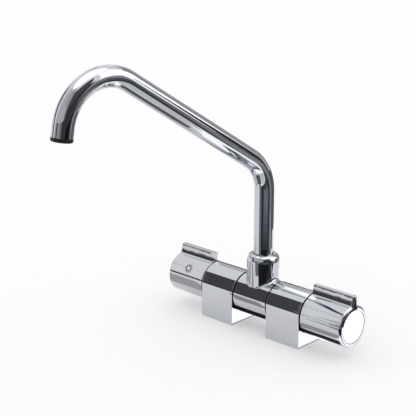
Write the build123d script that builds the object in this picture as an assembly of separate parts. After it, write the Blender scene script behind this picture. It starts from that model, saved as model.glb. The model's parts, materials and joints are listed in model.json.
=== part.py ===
from build123d import *
import math
import os

os.makedirs("parts", exist_ok=True)

# Folding caravan tap: a bar of five lengths on one axis. Two feet stand on the worktop, the
# barrel between them turns to fold the spout down, and a quarter-turn handle closes each end.
# +X runs along the bar, -Y faces the user and +Z is up. The pieces of the bar are drawn about
# the bar's axis and lifted to its height at the end. Sizes are millimetres, angles are degrees.

# Fits, shared by every piece
running = 0.05  # radial clearance of a shaft that turns in its bore
thread_play = 0.05  # radial clearance of a screwed or brazed fit
seal_play = 0.03  # an O-ring's outside under the bore that it seals
face_play = 0.05  # between flat faces that rub
overrun = 1.0  # how far a cut runs past the face that it opens

# Ceramic cartridge, from its discs outwards
disc_radius = 8.5
disc_thickness = 2.5
disc_play = 0.1
disc_port_inner = 2.2
disc_port_outer = 6.6
disc_port_angle = 70.0
disc_ear_reach = 0.9
disc_ear_width = 3.0
dog_width = 3.0
dog_height = 1.2
dog_length = 12.0
lip_seal_bore = 5.6
lip_seal_thickness = 2.25
cartridge_wall = 1.0
water_gap = 1.4  # the ring of water round the cartridge
cartridge_inner_gap = 0.5  # the lip seal stands this far out of the cartridge
cartridge_thread_length = 5.25
cartridge_hex_length = 2.0
cartridge_neck_wall = 2.5
cartridge_length = 16.75  # from the foot's outer face to the neck's end
window_width = 5.0
window_length = 4.6
window_count = 4

# Spindle
spindle_radius = 5.0
spindle_head_length = 2.65
spindle_head_play = 0.3
spindle_flat = 4.0  # from the spindle's axis to each of its two flats
spindle_flat_length = 7.3
spindle_end_play = 0.7
circlip_thickness = 1.0
circlip_depth = 0.8
circlip_reach = 2.4
circlip_gap_angle = 50.0
circlip_play = 0.3

# Handle sleeve and its lever
sleeve_play = 0.8  # round the corners of the cartridge's hexagon
sleeve_wall = 2.5
handle_gap = 1.0
handle_length = 36.95
handle_edge = 1.7
hub_thickness = 10.0
lever_reach = 7.6  # how far the lever stands above the sleeve
lever_thickness = 3.5
lever_taper = 12.0  # each side of the lever slopes out by this angle towards its root
lever_flare = 1.2
lever_edge = 0.8
lever_lean = 3.0  # the lever leans back by this angle at rest
cap_radius = 12.5
cap_thickness = 1.8
cap_groove = 0.5
cap_sink = 0.2
cap_seat = 1.0
cap_skirt_length = 2.5
cap_skirt_wall = 1.2
screw_radius = 2.0
screw_hole_play = 0.25
screw_head_radius = 3.5
screw_head_height = 2.4
screw_length = 13.5
screw_tip_play = 0.7
screw_key_flat = 1.5
screw_key_depth = 1.5

# Mark for hot water, let into the left handle
mark_x = 67.4
mark_angle = 36.7  # above the front of the bar
mark_depth = 0.3
mark_ring_radius = 2.7
mark_line = 0.8
mark_ray_gap = 0.3
mark_ray_length = 0.85
mark_ray_count = 10

# Feet
hole_spacing = 66.5  # the two holes in the worktop
foot_length = 32.0
foot_proud = 0.4  # the feet stand proud of the barrel and handles
foot_edge = 0.3
foot_gap = 1.2
web_thickness = 2.5
web_port = 5.0
journal_depth = 12.0
feed_radius = 3.0
feed_margin = 0.5
shank_grip = 9.0
shank_roof = 4.2
gasket_thickness = 2.0
gasket_outer = 12.8
gasket_play = 0.2

# Journals of the fold
waterway = 6.0
journal_wall = 4.0
journal_end_play = 0.5
dowel_radius = 1.5
dowel_play = 0.15
dowel_bite = 1.35
dowel_sink = 1.0
dowel_inset = 4.5
groove_depth = 1.6
fold_range = 90.0

# O-rings and their grooves
seal_groove_width = 2.0
seal_groove_depth = 1.4
seal_land = 1.0

# Spout
tube_radius = 7.5
tube_wall = 1.0
riser_height = 102.8  # from the bar's axis to the first bend's corner
arm_length = 200.0
arm_rise = 33.0
drop_length = 59.0
drop_angle = 80.5
first_bend = 32.0
second_bend = 34.5
spout_turn = 6.0  # the spout stands this far to the left of straight ahead
swivel_range = 180.0

# Ferrule on the spout's foot, and the boss and collar nut that hold it
ferrule_wall = 1.4
ferrule_socket = 12.3
flange_reach = 1.25
flange_thickness = 1.6
boss_floor_wall = 5.0
boss_thread_wall = 1.5
boss_thread_length = 6.0
boss_fillet = 2.0
ferrule_end_play = 0.3
stop_height = 2.2
stop_radius = 1.0
stop_play = 0.15
stop_seat = 3.5
thrust_thickness = 0.75
slip_thickness = 0.6
washer_play = 0.1
nut_wall = 1.95
nut_roof = 2.45
nut_hole_play = 0.3
nut_lip = 0.5
nut_shoulder = 5.5
nut_step = 0.4

# Outlet
outlet_proud = 2.8
outlet_edge = 1.0
outlet_sleeve = 8.0
outlet_wall = 1.2
outlet_lip = 0.7
outlet_lip_length = 1.0
vane_thickness = 0.8
vane_length = 6.0
vane_count = 3

# Fixing under the worktop
worktop = 30.0
shank_spigot = 8.0
shank_neck = 8.9
shank_thread = 9.0
shank_thread_length = 18.0
shank_bore = 5.0
hardware_play = 0.2
rubber_washer_radius = 16.0
rubber_washer_thickness = 2.0
steel_washer_radius = 15.0
steel_washer_thickness = 1.5
backnut_flat = 13.5
backnut_thickness = 8.0

# Inlet tails for push-fit pipe
tail_radius = 6.0
tail_bore = 4.4
tail_length = 22.0
tail_stub_radius = 6.5
tail_stub_length = 7.0
tail_stub_play = 0.5
tail_hex_flat = 8.5
tail_hex_thickness = 4.0
tail_seal_thickness = 1.5
tail_seal_outer = 8.6

# Radii worked out from the discs outwards
cartridge_bore = disc_radius + disc_play
cartridge_slim = cartridge_bore + cartridge_wall
chamber_radius = cartridge_slim + water_gap
cartridge_thread = chamber_radius - thread_play
hex_flat = chamber_radius
hex_corner = hex_flat / math.cos(math.radians(30))
sleeve_bore = hex_corner + sleeve_play
bar_radius = sleeve_bore + sleeve_wall
foot_radius = bar_radius + foot_proud
axis_height = shank_grip + shank_roof + chamber_radius
journal_radius = waterway + journal_wall
journal_bore = journal_radius + running
spindle_bore = spindle_radius + running

# Places along the bar on its right side, which the left side mirrors
shank_x = hole_spacing / 2
foot_inner = shank_x - foot_length / 2
foot_outer = shank_x + foot_length / 2
barrel_end = foot_inner - foot_gap
journal_tip = foot_inner + journal_depth - journal_end_play
chamber_floor = foot_inner + journal_depth + web_thickness
feed_x = chamber_floor + feed_margin + feed_radius
dowel_x = foot_inner + dowel_inset
cartridge_start = chamber_floor + cartridge_inner_gap
fixed_disc_start = chamber_floor + lip_seal_thickness
moving_disc_start = fixed_disc_start + disc_thickness + face_play
head_start = moving_disc_start + disc_thickness + face_play
head_end = head_start + spindle_head_length
cartridge_bore_end = head_end + spindle_head_play
neck_end = foot_outer + cartridge_length
circlip_start = neck_end + circlip_play
handle_start = foot_outer + handle_gap
handle_end = handle_start + handle_length
cap_outer_face = handle_end - cap_sink
cap_inner_face = cap_outer_face - cap_thickness
hub_end = cap_inner_face - cap_skirt_length - cap_groove
hub_start = hub_end - hub_thickness
spindle_end = hub_start + spindle_flat_length
socket_end = spindle_end + spindle_end_play

# Radii and heights of the spout's seat, above the bar's axis
tube_bore = tube_radius - tube_wall
ferrule_radius = tube_radius + thread_play + ferrule_wall
boss_bore = ferrule_radius + running
boss_thread = boss_bore + boss_thread_wall
nut_bore = boss_thread + thread_play
nut_radius = nut_bore + nut_wall
neck_radius = nut_radius - nut_step
nut_hole = tube_radius + nut_hole_play
flange_radius = ferrule_radius + flange_reach
boss_floor = waterway + boss_floor_wall
ferrule_bottom = boss_floor + ferrule_end_play
seal_places = [
    ferrule_bottom + stop_height + seal_land * (i + 1) + seal_groove_width * i for i in range(2)
]
socket_floor = seal_places[-1] + seal_groove_width + seal_land
ferrule_top = socket_floor + ferrule_socket
flange_bottom = ferrule_top - flange_thickness
boss_top = flange_bottom - face_play - thrust_thickness
nut_bottom = boss_top - boss_thread_length
slip_bottom = ferrule_top + face_play
roof_bottom = slip_bottom + slip_thickness
nut_top = roof_bottom + nut_roof
stop_place = (tube_bore + ferrule_radius) / 2


# Plain forms

def x_rod(radius, start, end):
    """A round rod along the bar, between two places."""
    middle = (start + end) / 2
    return Pos(middle, 0, 0) * Rot(0, 90, 0) * Cylinder(radius, end - start)


def z_rod(radius, bottom, top):
    """A round upright rod, between two heights."""
    middle = (bottom + top) / 2
    return Pos(0, 0, middle) * Cylinder(radius, top - bottom)


def x_ring(outer, inner, start, end):
    """A ring about the bar's axis."""
    return x_rod(outer, start, end) - x_rod(inner, start - overrun, end + overrun)


def z_ring(outer, inner, bottom, top):
    """A ring about an upright axis."""
    return z_rod(outer, bottom, top) - z_rod(inner, bottom - overrun, top + overrun)


def x_hex(flat, start, end):
    """A hexagonal length along the bar. flat is from its axis to a flat."""
    corner = flat / math.cos(math.radians(30))
    outline = Plane.YZ.offset(start) * RegularPolygon(corner, 6)
    return extrude(outline, end - start)


def z_hex(flat, bottom, top):
    """A hexagonal upright length. flat is from its axis to a flat."""
    corner = flat / math.cos(math.radians(30))
    outline = Plane.XY.offset(bottom) * RegularPolygon(corner, 6)
    return extrude(outline, top - bottom)


def y_rod(radius, start, end):
    """A round rod from front to back."""
    middle = (start + end) / 2
    return Pos(0, middle, 0) * Rot(90, 0, 0) * Cylinder(radius, end - start)


def x_sector(inner, outer, start, end, arc, centre):
    """A slice of a ring about the bar's axis. Angles run from +Y towards +Z."""
    outline = Polyline(
        (start, inner),
        (end, inner),
        (end, outer),
        (start, outer),
        (start, inner),
    )
    slice_at_y = revolve(make_face(outline), Axis.X, revolution_arc=arc)
    return Rot(centre - arc / 2, 0, 0) * slice_at_y


def z_sector(inner, outer, bottom, top, arc, centre):
    """A slice of an upright ring. Angles run from +X towards +Y."""
    outline = Polyline(
        (inner, 0, bottom),
        (outer, 0, bottom),
        (outer, 0, top),
        (inner, 0, top),
        (inner, 0, bottom),
    )
    slice_at_x = revolve(make_face(outline), Axis.Z, revolution_arc=arc)
    return Rot(0, 0, centre - arc / 2) * slice_at_x


def x_seal(outer, floor, start):
    """An O-ring in a groove of the bar that starts at this place, from its floor up to outer."""
    middle = start + seal_groove_width / 2
    wire = (outer - floor) / 2
    return Pos(middle, 0, 0) * Rot(0, 90, 0) * Torus(outer - wire, wire)


def z_seal(outer, floor, bottom):
    """An O-ring in an upright piece's groove that starts at this height."""
    middle = bottom + seal_groove_width / 2
    wire = (outer - floor) / 2
    return Pos(0, 0, middle) * Torus(outer - wire, wire)


def groove_floor(radius):
    """How deep an O-ring's groove is cut into a shaft of this radius."""
    return radius - seal_groove_depth


# Feet, on the worktop

def foot():
    """A block with a round top, bored for the barrel's journal, the cartridge and the shank."""
    block = Pos(shank_x, 0, -axis_height / 2) * Box(foot_length, foot_radius * 2, axis_height)
    body = block + x_rod(foot_radius, foot_inner, foot_outer)
    ends = body.faces().filter_by(Axis.X)
    rims = [edge for face in ends for edge in face.edges() if edge.center().Z > -axis_height]
    body = fillet(rims, foot_edge)
    body -= x_rod(journal_bore, foot_inner - overrun, foot_inner + journal_depth)
    body -= x_rod(web_port, foot_inner, chamber_floor + overrun)
    body -= x_rod(chamber_radius, chamber_floor, foot_outer + overrun)
    bottom = -axis_height
    body -= Pos(shank_x, 0, 0) * z_rod(shank_spigot + thread_play, bottom - overrun, bottom + shank_grip)
    recess = gasket_outer + gasket_play
    body -= Pos(shank_x, 0, 0) * z_rod(recess, bottom - overrun, bottom + gasket_thickness)
    body -= Pos(feed_x, 0, 0) * z_rod(feed_radius, bottom + shank_grip - overrun, 0)
    dowel_start = journal_radius - dowel_bite
    body -= Pos(dowel_x, 0, 0) * y_rod(dowel_radius, dowel_start, foot_radius + overrun)
    return body


def foot_gasket():
    """Rubber ring let into the foot's underside, flush with it."""
    inner = shank_spigot + gasket_play
    ring = z_ring(gasket_outer, inner, -axis_height, -axis_height + gasket_thickness)
    return Pos(shank_x, 0, 0) * ring


def journal_dowel():
    """Dowel through the foot's back that runs in the journal's groove."""
    rod = y_rod(dowel_radius, journal_radius - dowel_bite, foot_radius - dowel_sink)
    return Pos(dowel_x, 0, 0) * rod


# Fixing under the worktop

def shank():
    """Screwed tube from the foot through the worktop. Its neck is plain, its end threaded."""
    foot_base = -axis_height
    neck_base = foot_base - worktop
    thread_base = neck_base - shank_thread_length
    body = z_rod(shank_spigot, foot_base, foot_base + shank_grip)
    body += z_rod(shank_neck, neck_base, foot_base)
    body += z_rod(shank_thread, thread_base, neck_base)
    body -= z_rod(shank_bore, thread_base - overrun, foot_base + shank_grip + overrun)
    stub_hole = thread_base + tail_stub_length + tail_stub_play
    body -= z_rod(tail_stub_radius + thread_play, thread_base - overrun, stub_hole)
    return Pos(shank_x, 0, 0) * body


def worktop_rubber_washer():
    """Rubber washer against the worktop's underside."""
    top = -axis_height - worktop
    inner = shank_thread + hardware_play
    ring = z_ring(rubber_washer_radius, inner, top - rubber_washer_thickness, top)
    return Pos(shank_x, 0, 0) * ring


def worktop_steel_washer():
    """Steel washer under the rubber one."""
    top = -axis_height - worktop - rubber_washer_thickness
    inner = shank_thread + hardware_play
    ring = z_ring(steel_washer_radius, inner, top - steel_washer_thickness, top)
    return Pos(shank_x, 0, 0) * ring


def backnut():
    """Hexagonal nut that clamps the foot to the worktop."""
    top = -axis_height - worktop - rubber_washer_thickness - steel_washer_thickness
    body = z_hex(backnut_flat, top - backnut_thickness, top)
    body -= z_rod(shank_thread + thread_play, top - backnut_thickness - overrun, top + overrun)
    return Pos(shank_x, 0, 0) * body


def inlet_tail():
    """Brass tail for push-fit pipe, screwed into the shank's end."""
    shank_end = -axis_height - worktop - shank_thread_length
    hex_top = shank_end - tail_seal_thickness
    hex_base = hex_top - tail_hex_thickness
    tail_end = hex_base - tail_length
    body = z_rod(tail_stub_radius, hex_top, shank_end + tail_stub_length)
    body += z_hex(tail_hex_flat, hex_base, hex_top)
    body += z_rod(tail_radius, tail_end, hex_base)
    body -= z_rod(tail_bore, tail_end - overrun, shank_end + tail_stub_length + overrun)
    return Pos(shank_x, 0, 0) * body


def inlet_seal():
    """Flat ring between the shank's end and the tail's hexagon."""
    top = -axis_height - worktop - shank_thread_length
    ring = z_ring(tail_seal_outer, tail_stub_radius + hardware_play, top - tail_seal_thickness, top)
    return Pos(shank_x, 0, 0) * ring


# Cartridges, one in each foot

def cartridge_body():
    """Brass housing of the discs, screwed into the foot, with a neck that carries the spindle."""
    thread_start = foot_outer - cartridge_thread_length
    hex_end = foot_outer + cartridge_hex_length
    body = x_rod(cartridge_slim, cartridge_start, foot_outer)
    body += x_rod(cartridge_thread, thread_start, foot_outer)
    body += x_hex(hex_flat, foot_outer, hex_end)
    body += x_rod(spindle_bore + cartridge_neck_wall, hex_end, neck_end)
    body -= x_rod(cartridge_bore, cartridge_start - overrun, cartridge_bore_end)
    body -= x_rod(spindle_bore, cartridge_start, neck_end + overrun)
    groove = thread_start + seal_land
    body -= x_ring(
        chamber_radius + overrun,
        groove_floor(cartridge_thread),
        groove,
        groove + seal_groove_width,
    )
    body -= ear_slots()
    body -= water_windows()
    return body


def ear_slots():
    """Two slots in the cartridge's mouth that keep the fixed disc from turning."""
    slot_end = fixed_disc_start + disc_thickness
    depth = slot_end - cartridge_start + overrun
    width = disc_ear_width + disc_play * 2
    height = (chamber_radius + overrun) * 2
    return Pos(slot_end - depth / 2, 0, 0) * Box(depth, height, width)


def water_windows():
    """Windows round the moving disc, where the water enters."""
    reach = chamber_radius + overrun
    start = cartridge_bore_end - spindle_head_play - window_length
    bars = Part()
    for i in range(window_count):
        bar = Pos(start + window_length / 2, reach / 2, 0) * Box(window_length, reach, window_width)
        bars += Rot((i + 1 / 2) * 360 / window_count, 0, 0) * bar
    return bars


def fixed_disc():
    """Ceramic disc with two ports, held by its ears."""
    end = fixed_disc_start + disc_thickness
    body = x_rod(disc_radius, fixed_disc_start, end)
    ear_height = (disc_radius + disc_ear_reach) * 2
    middle = (fixed_disc_start + end) / 2
    body += Pos(middle, 0, 0) * Box(disc_thickness, ear_height, disc_ear_width)
    for turn in (0, 180):
        body -= disc_port(fixed_disc_start, disc_port_outer, turn)
    return body


def moving_disc():
    """Ceramic disc with two notches, turned across the fixed disc's ports when it is shut."""
    end = moving_disc_start + disc_thickness
    body = x_rod(disc_radius - spindle_head_play, moving_disc_start, end)
    for turn in (90, 270):
        body -= disc_port(moving_disc_start, disc_radius + overrun, turn)
    slot_play = dog_width + disc_play * 2
    slot = Box(dog_height + disc_play + overrun, disc_radius * 4, slot_play)
    slot_floor = end - dog_height - disc_play
    body -= Pos(slot_floor + (dog_height + disc_play + overrun) / 2, 0, 0) * slot
    return body


def disc_port(start, outer, turn):
    """A fan-shaped hole through a disc."""
    end = start + disc_thickness + overrun
    return x_sector(disc_port_inner, outer, start - overrun, end, disc_port_angle, turn)


def lip_seal():
    """Rubber ring pressed between the fixed disc and the foot's web."""
    return x_ring(disc_radius - disc_play, lip_seal_bore, chamber_floor, fixed_disc_start)


def cartridge_seal():
    """O-ring between the cartridge and the foot."""
    groove = foot_outer - cartridge_thread_length + seal_land
    return x_seal(chamber_radius - seal_play, groove_floor(cartridge_thread), groove)


# Handles, with the spindles that they turn

def spindle():
    """Brass spindle: a dog for the disc, a shaft, and two flats that the handle grips."""
    body = x_rod(disc_radius - spindle_head_play, head_start, head_end)
    dog_start = head_start - face_play - dog_height
    dog_depth = head_start - dog_start
    body += Pos(dog_start + dog_depth / 2, 0, 0) * Box(dog_depth, dog_length, dog_width)
    body += x_rod(spindle_radius, head_end, spindle_end)
    flats = x_rod(spindle_radius + overrun, hub_start, spindle_end + overrun)
    flats -= spindle_key(spindle_flat, hub_start, spindle_end + overrun)
    body -= flats
    groove = spindle_seal_place()
    body -= x_ring(
        spindle_bore + overrun,
        groove_floor(spindle_radius),
        groove,
        groove + seal_groove_width,
    )
    clip_play = face_play * 2
    body -= x_ring(
        spindle_radius + overrun,
        spindle_radius - circlip_depth,
        circlip_start - face_play,
        circlip_start + circlip_thickness + clip_play - face_play,
    )
    hole = spindle_end - screw_thread_depth() - screw_tip_play
    body -= x_rod(screw_radius + thread_play, hole, spindle_end + overrun)
    return body


def spindle_key(flat, start, end):
    """A bar across the axis, as thick as the spindle is between its flats."""
    length = end - start
    width = (spindle_radius + overrun) * 4
    return Pos(start + length / 2, 0, 0) * Box(length, width, flat * 2)


def spindle_seal_place():
    """Where the spindle's O-ring groove starts, halfway along the cartridge's neck."""
    return (foot_outer + neck_end - seal_groove_width) / 2


def screw_thread_depth():
    """How deep the handle's screw reaches into the spindle."""
    return screw_length - (hub_end - spindle_end)


def spindle_seal():
    """O-ring on the spindle."""
    outer = spindle_bore - seal_play
    return x_seal(outer, groove_floor(spindle_radius), spindle_seal_place())


def circlip():
    """Open spring ring that stops the spindle from going in."""
    end = circlip_start + circlip_thickness
    outer = spindle_radius + circlip_reach
    ring = x_ring(outer, spindle_radius - circlip_depth, circlip_start, end)
    gap = x_sector(
        spindle_radius / 2,
        outer + overrun,
        circlip_start - overrun,
        end + overrun,
        circlip_gap_angle,
        -90,
    )
    return ring - gap


def lever_outline():
    """The lever's cross-section: sloping sides that flare out to meet the sleeve."""
    half = lever_thickness / 2
    top = bar_radius + lever_reach
    slope = math.radians(lever_taper)
    side_far = half * math.cos(slope) + top * math.sin(slope)
    hollow_far = side_far + lever_flare
    hollow_up = math.sqrt((bar_radius + lever_flare) ** 2 - hollow_far**2)

    def place(out, along):
        """A point by its distances square to the side and along it."""
        return (
            out * math.cos(slope) - along * math.sin(slope),
            out * math.sin(slope) + along * math.cos(slope),
        )

    foot = place(side_far, hollow_up)
    centre = place(hollow_far, hollow_up)
    root_share = bar_radius / (bar_radius + lever_flare)
    root = (centre[0] * root_share, centre[1] * root_share)
    middle_angle = (math.pi + slope + math.atan2(-centre[1], -centre[0]) + 2 * math.pi) / 2
    middle = (
        centre[0] + lever_flare * math.cos(middle_angle),
        centre[1] + lever_flare * math.sin(middle_angle),
    )
    sides = []
    for way in (1, -1):
        sides.append(Line((way * half, top), (way * foot[0], foot[1])))
        sides.append(
            ThreePointArc(
                (way * foot[0], foot[1]),
                (way * middle[0], middle[1]),
                (way * root[0], root[1]),
            )
        )
        sides.append(Line((way * root[0], root[1]), (0, sleeve_bore)))
    sides.append(Line((-half, top), (half, top)))
    return make_face(sides)


def handle():
    """Round sleeve with a lever along it, and a hub inside that grips the spindle."""
    body = x_rod(bar_radius, handle_start, handle_end)
    lever = extrude(Plane.YZ.offset(handle_start) * lever_outline(), handle_length)
    crests = lever.edges().filter_by(Axis.X).sort_by(Axis.Z)[-2:]
    lever = fillet(crests, lever_edge)
    body += Rot(-lever_lean, 0, 0) * lever
    outer_face = body.faces().sort_by(Axis.X)[-1]
    body = fillet(outer_face.edges(), handle_edge)
    body -= x_rod(sleeve_bore, handle_start - overrun, hub_start)
    socket = x_rod(spindle_bore, hub_start - overrun, socket_end)
    socket &= spindle_key(spindle_flat + running, hub_start - overrun, socket_end)
    body -= socket
    body -= x_rod(screw_radius + screw_hole_play, hub_start, hub_end + overrun)
    body -= x_rod(cap_radius + cap_groove - cap_seat, hub_end, handle_end + overrun)
    body -= x_rod(cap_radius + cap_groove, cap_inner_face, handle_end + overrun)
    return body


def handle_screw():
    """Cap screw through the hub into the spindle."""
    body = x_rod(screw_radius, hub_end - screw_length, hub_end)
    head_end_x = hub_end + screw_head_height
    body += x_rod(screw_head_radius, hub_end, head_end_x)
    body -= x_hex(screw_key_flat, head_end_x - screw_key_depth, head_end_x + overrun)
    return body


def end_cap():
    """Disc that closes the handle, with a skirt that snaps into its bore."""
    skirt_outer = cap_radius + cap_groove - cap_seat - thread_play
    body = x_rod(cap_radius, cap_inner_face, cap_outer_face)
    skirt_start = cap_inner_face - cap_skirt_length
    body += x_ring(skirt_outer, skirt_outer - cap_skirt_wall, skirt_start, cap_inner_face)
    return body


def mark_plane():
    """Plane that touches the left handle where its mark is, facing outwards."""
    angle = math.radians(mark_angle)
    outwards = Vector(0, -math.cos(angle), math.sin(angle))
    return Plane(origin=Vector(-mark_x, 0, 0), x_dir=(1, 0, 0), z_dir=outwards)


def hot_mark():
    """Small sun let into the handle's surface: a ring with rays, flush with the metal."""
    sun = Circle(mark_ring_radius) - Circle(mark_ring_radius - mark_line)
    ray_middle = mark_ring_radius + mark_ray_gap + mark_ray_length / 2
    for place in PolarLocations(0, mark_ray_count):
        sun += place * Pos(ray_middle, 0) * Rectangle(mark_ray_length, mark_line)
    prism = extrude(mark_plane() * sun, bar_radius + overrun)
    ring_reach = mark_ring_radius + mark_ray_gap + mark_ray_length + overrun
    skin = x_ring(bar_radius, bar_radius - mark_depth, -mark_x - ring_reach, -mark_x + ring_reach)
    return prism & skin


# Barrel between the feet

def fold_barrel():
    """Barrel with a journal at each end and a boss on top for the spout."""
    boss = z_rod(neck_radius, 0, nut_bottom)
    body = x_rod(bar_radius, -barrel_end, barrel_end) + boss
    seam = [
        edge
        for edge in body.edges()
        if edge.geom_type not in (GeomType.LINE, GeomType.CIRCLE)
    ]
    body = fillet(seam, boss_fillet)
    body += x_rod(journal_radius, -journal_tip, journal_tip)
    body += z_rod(boss_thread, nut_bottom, boss_top)
    body -= x_rod(waterway, -journal_tip - overrun, journal_tip + overrun)
    body -= z_rod(waterway, 0, boss_floor + overrun)
    body -= z_rod(boss_bore, boss_floor, boss_top + overrun)
    body -= Pos(0, stop_place, 0) * z_rod(stop_radius, boss_floor - stop_seat, boss_floor + overrun)
    body -= fold_groove()
    body -= turning_groove()
    for start in journal_seal_places():
        body -= x_ring(
            journal_radius + overrun,
            groove_floor(journal_radius),
            start,
            start + seal_groove_width,
        )
    return body


def fold_groove():
    """Quarter-turn groove in the right journal. Its dowel stops the fold at both ends."""
    half = dowel_radius + dowel_play
    inner = journal_radius - groove_depth
    outer = journal_radius + overrun
    groove = x_sector(inner, outer, dowel_x - half, dowel_x + half, fold_range, -fold_range / 2)
    for turn in (0, -fold_range):
        groove += Rot(turn, 0, 0) * Pos(dowel_x, 0, 0) * y_rod(half, inner, outer)
    return groove


def turning_groove():
    """Groove all round the left journal. Its dowel only keeps the journal from coming out."""
    half = dowel_radius + dowel_play
    inner = journal_radius - groove_depth
    return x_ring(journal_radius + overrun, inner, -dowel_x - half, -dowel_x + half)


def journal_seal_places():
    """Where the journals' O-ring grooves start, one near each tip."""
    right = journal_tip - seal_land - seal_groove_width
    return right, -right - seal_groove_width


def journal_seals():
    """O-rings on the two journals."""
    outer = journal_bore - seal_play
    floor = groove_floor(journal_radius)
    return Compound([x_seal(outer, floor, start) for start in journal_seal_places()])


def collar_nut():
    """Round nut with a domed shoulder that holds the spout in the boss."""
    lip = nut_hole + nut_lip
    shoulder = nut_top - nut_shoulder
    outline = [
        Line((nut_hole, 0, nut_bottom), (nut_radius, 0, nut_bottom)),
        Line((nut_radius, 0, nut_bottom), (nut_radius, 0, shoulder)),
        Plane.XZ * EllipticalCenterArc((lip, shoulder), nut_radius - lip, nut_shoulder, arc_size=90),
        Line((lip, 0, nut_top), (nut_hole, 0, nut_top)),
        Line((nut_hole, 0, nut_top), (nut_hole, 0, nut_bottom)),
    ]
    body = revolve(make_face(outline), Axis.Z)
    return body - z_rod(nut_bore, nut_bottom - overrun, roof_bottom)


def thrust_washer():
    """Slippery washer between the boss and the ferrule's flange."""
    return z_ring(boss_thread - washer_play, boss_bore + washer_play, boss_top, boss_top + thrust_thickness)


def slip_washer():
    """Slippery washer between the ferrule's flange and the nut's roof."""
    return z_ring(nut_bore - washer_play, nut_hole, slip_bottom, roof_bottom)


def swivel_stop_pin():
    """Pin in the boss's floor that stops the swivel at each side."""
    rod = z_rod(stop_radius, boss_floor - stop_seat, ferrule_bottom + stop_height - stop_play)
    return Pos(0, stop_place, 0) * rod


# Spout

def spout_corners():
    """Corners of the tube's centre line, forwards and upwards from the riser."""
    rise = math.radians(arm_rise)
    fall = math.radians(drop_angle)
    first = (0, riser_height)
    second = (arm_length * math.cos(rise), riser_height + arm_length * math.sin(rise))
    end = (second[0] + drop_length * math.cos(fall), second[1] - drop_length * math.sin(fall))
    return first, second, end


def face_forwards(piece):
    """Turn a piece that was drawn towards +X to where the spout points."""
    return Rot(0, 0, -90 - spout_turn) * piece


def spout_tube():
    """Bent tube: riser, rising arm and down-turned end."""
    first, second, end = spout_corners()
    places = [(0, 0, socket_floor)] + [(x, 0, z) for x, z in (first, second, end)]
    line = FilletPolyline(*places, radius=[first_bend, second_bend])
    start = Plane(origin=(0, 0, socket_floor), z_dir=(0, 0, 1))
    body = sweep(start * Circle(tube_radius), path=line)
    body -= sweep(start * Circle(tube_bore), path=line)
    return face_forwards(body)


def spout_ferrule():
    """Brass ferrule brazed on the tube's foot. It turns in the boss and carries two O-rings."""
    body = z_rod(ferrule_radius, ferrule_bottom, ferrule_top)
    body += z_rod(flange_radius, flange_bottom, ferrule_top)
    body -= z_rod(tube_bore, ferrule_bottom - overrun, ferrule_top)
    body -= z_rod(tube_radius + thread_play, socket_floor, ferrule_top + overrun)
    for place in seal_places:
        body -= z_ring(
            ferrule_radius + overrun,
            groove_floor(ferrule_radius),
            place,
            place + seal_groove_width,
        )
    return body - stop_slot()


def stop_slot():
    """Half-round slot in the ferrule's foot for the swivel's stop pin."""
    side = math.degrees(math.asin((stop_radius + stop_play) / stop_place))
    return z_sector(
        tube_bore / 2,
        ferrule_radius + overrun,
        ferrule_bottom - overrun,
        ferrule_bottom + stop_height,
        swivel_range + side * 2,
        90 - spout_turn,
    )


def spout_seals():
    """O-rings on the ferrule."""
    outer = boss_bore - seal_play
    floor = groove_floor(ferrule_radius)
    return Compound([z_seal(outer, floor, place) for place in seal_places])


def at_outlet(piece):
    """Set a piece, drawn downwards from the origin, on the tube's open end."""
    end = spout_corners()[2]
    tilt = Pos(end[0], 0, end[1]) * Rot(0, -(90 - drop_angle), 0)
    return face_forwards(tilt * piece)


def outlet_insert():
    """Black nozzle: a rounded collar at the tube's end, and a sleeve inside it."""
    sleeve = tube_bore - thread_play
    bore = sleeve - outlet_wall
    collar = z_rod(tube_radius, -outlet_proud, 0)
    collar = fillet(collar.edges().sort_by(Axis.Z)[0], outlet_edge)
    body = collar + z_rod(sleeve, 0, outlet_sleeve)
    body -= z_rod(bore, outlet_lip_length - outlet_proud, outlet_sleeve + overrun)
    body -= z_rod(bore - outlet_lip, -outlet_proud - overrun, outlet_sleeve)
    return at_outlet(body)


def flow_straightener():
    """Star of vanes on the nozzle's lip that calms the water."""
    reach = tube_bore - thread_play - outlet_wall - thread_play
    bottom = outlet_lip_length - outlet_proud
    star = Part()
    for i in range(vane_count):
        vane = Box(reach * 2, vane_thickness, vane_length)
        star += Rot(0, 0, i * 180 / vane_count) * vane
    star = Pos(0, 0, bottom + vane_length / 2) * star
    return at_outlet(star & z_rod(reach, bottom, bottom + vane_length))


# Write each piece to its own file

def write(name, piece):
    """Lift a piece from the bar's axis to its height above the worktop, and write it."""
    export_step(Pos(0, 0, axis_height) * piece, f"parts/{name}.step")


def left_copy(piece):
    """The same piece on the bar's left side."""
    return piece.mirror(Plane.YZ)


def both_sides(piece):
    """A piece and its copy on the left, as one group of separate solids."""
    solids = list(piece.solids()) + list(left_copy(piece).solids())
    return Compound(solids)


handed_pieces = {
    "foot": foot(),
    "foot_gasket": foot_gasket(),
    "shank": shank(),
    "inlet_tail": inlet_tail(),
    "cartridge_body": cartridge_body(),
    "fixed_disc": fixed_disc(),
    "moving_disc": moving_disc(),
    "spindle": spindle(),
    "spindle_seal": spindle_seal(),
    "circlip": circlip(),
    "handle_screw": handle_screw(),
    "end_cap": end_cap(),
}

paired_pieces = {
    "journal_dowels": journal_dowel(),
    "worktop_rubber_washers": worktop_rubber_washer(),
    "worktop_steel_washers": worktop_steel_washer(),
    "backnuts": backnut(),
    "inlet_seals": inlet_seal(),
    "lip_seals": lip_seal(),
    "cartridge_seals": cartridge_seal(),
}

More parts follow.
